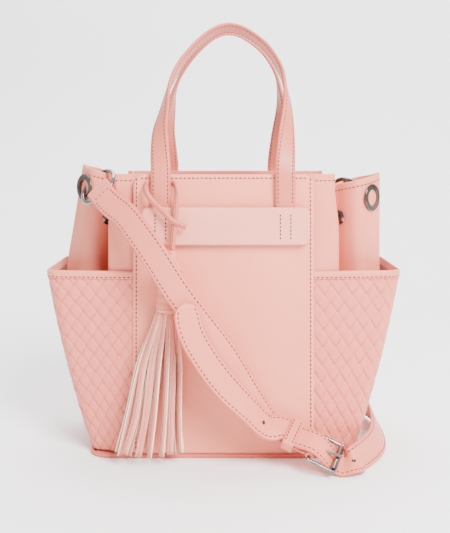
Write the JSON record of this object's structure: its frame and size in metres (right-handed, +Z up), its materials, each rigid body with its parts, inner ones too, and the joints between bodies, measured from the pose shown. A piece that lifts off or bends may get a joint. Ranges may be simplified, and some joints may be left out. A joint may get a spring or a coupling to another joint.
{
  "type": "handbag",
  "caption": "Small leather tote with folded gussets, woven side pockets, two looped handles, a buckled shoulder strap and a tassel.",
  "frame": {"origin": "centre of the base's underside, on the surface the bag stands on", "axes": "+Z up; +X to the bag's right as seen from the front; the front panel faces -Y"},
  "size_m": [0.32, 0.247, 0.3904],
  "materials": {
    "leather": "satin, fine grain",
    "woven_leather": "satin, diagonal basket weave",
    "lining": "matte",
    "board": "matte",
    "dark_metal": "polished, dark nickel",
    "bright_metal": "polished nickel",
    "fringe": "satin, pale cut edges"
  },
  "bodies": {
    "root": {"base_panel": "leather", "base_board": "board", "base_welt": "leather", "base_lining": "lining", "front_panel": "leather", "back_panel": "leather", "front_lining": "lining", "back_lining": "lining", "left_gusset": "leather", "right_gusset": "leather", "left_gusset_lining": "lining", "right_gusset_lining": "lining", "left_pocket": "woven_leather", "right_pocket": "woven_leather", "left_pocket_binding": "leather", "right_pocket_binding": "leather", "front_tab": "leather", "back_tab": "leather", "front_handle_ends": "leather", "back_handle_ends": "leather", "left_front_eyelet": "dark_metal", "left_back_eyelet": "dark_metal", "right_front_eyelet": "dark_metal", "right_back_eyelet": "dark_metal", "eyelet_washers": "dark_metal", "left_snaps": "bright_metal", "right_snaps": "bright_metal", "buckle_strap": "leather", "buckle_fold": "leather", "long_strap": "leather", "buckle_frame": "bright_metal"},
    "front_handle": {"front_handle": "leather"},
    "back_handle": {"back_handle": "leather"},
    "left_ring": {"left_ring": "bright_metal"},
    "right_ring": {"right_ring": "bright_metal"},
    "strap_keeper": {"strap_keeper": "leather"},
    "buckle_roller": {"buckle_roller": "bright_metal"},
    "buckle_tongue": {"buckle_tongue": "bright_metal"},
    "tassel": {"tassel_lace": "leather", "tassel_cap": "leather", "tassel_fringe": "fringe"}
  },
  "joints": [
    {"name": "front_handle_tilt", "type": "hinge", "parent": "root", "child": "front_handle", "pos_m": [0, -0.06, 0.252], "axis": [1, 0, 0], "range_deg": [0, 75]},
    {"name": "back_handle_tilt", "type": "hinge", "parent": "root", "child": "back_handle", "pos_m": [0, 0.06, 0.252], "axis": [-1, 0, 0], "range_deg": [0, 90]},
    {"name": "left_ring_turn", "type": "hinge", "parent": "root", "child": "left_ring", "pos_m": [-0.116, -0.0235, 0.2373], "axis": [-0.5654, -0.5592, 0.6063], "continuous": true},
    {"name": "right_ring_turn", "type": "hinge", "parent": "root", "child": "right_ring", "pos_m": [0.1253, 0.0232, 0.2288], "axis": [0.5654, 0.5592, 0.6063], "continuous": true},
    {"name": "keeper_slide", "type": "slide", "parent": "root", "child": "strap_keeper", "axis": [-0.8956, 0.24, 0.3746], "range_m": [0, 0.0025]},
    {"name": "buckle_tongue_lift", "type": "hinge", "parent": "root", "child": "buckle_tongue", "pos_m": [0.076, -0.086, 0.0202], "axis": [-0.3912, -0.8257, -0.4065], "range_deg": [0, 10]},
    {"name": "buckle_roller_spin", "type": "hinge", "parent": "root", "child": "buckle_roller", "pos_m": [0.0957, -0.09128, 0.01196], "axis": [-0.3912, -0.8257, -0.4065], "continuous": true},
    {"name": "tassel_swing", "type": "hinge", "parent": "root", "child": "tassel", "pos_m": [-0.055, -0.0605, 0.2425], "axis": [0, 1, 0], "range_deg": [-5, 5]}
  ]
}
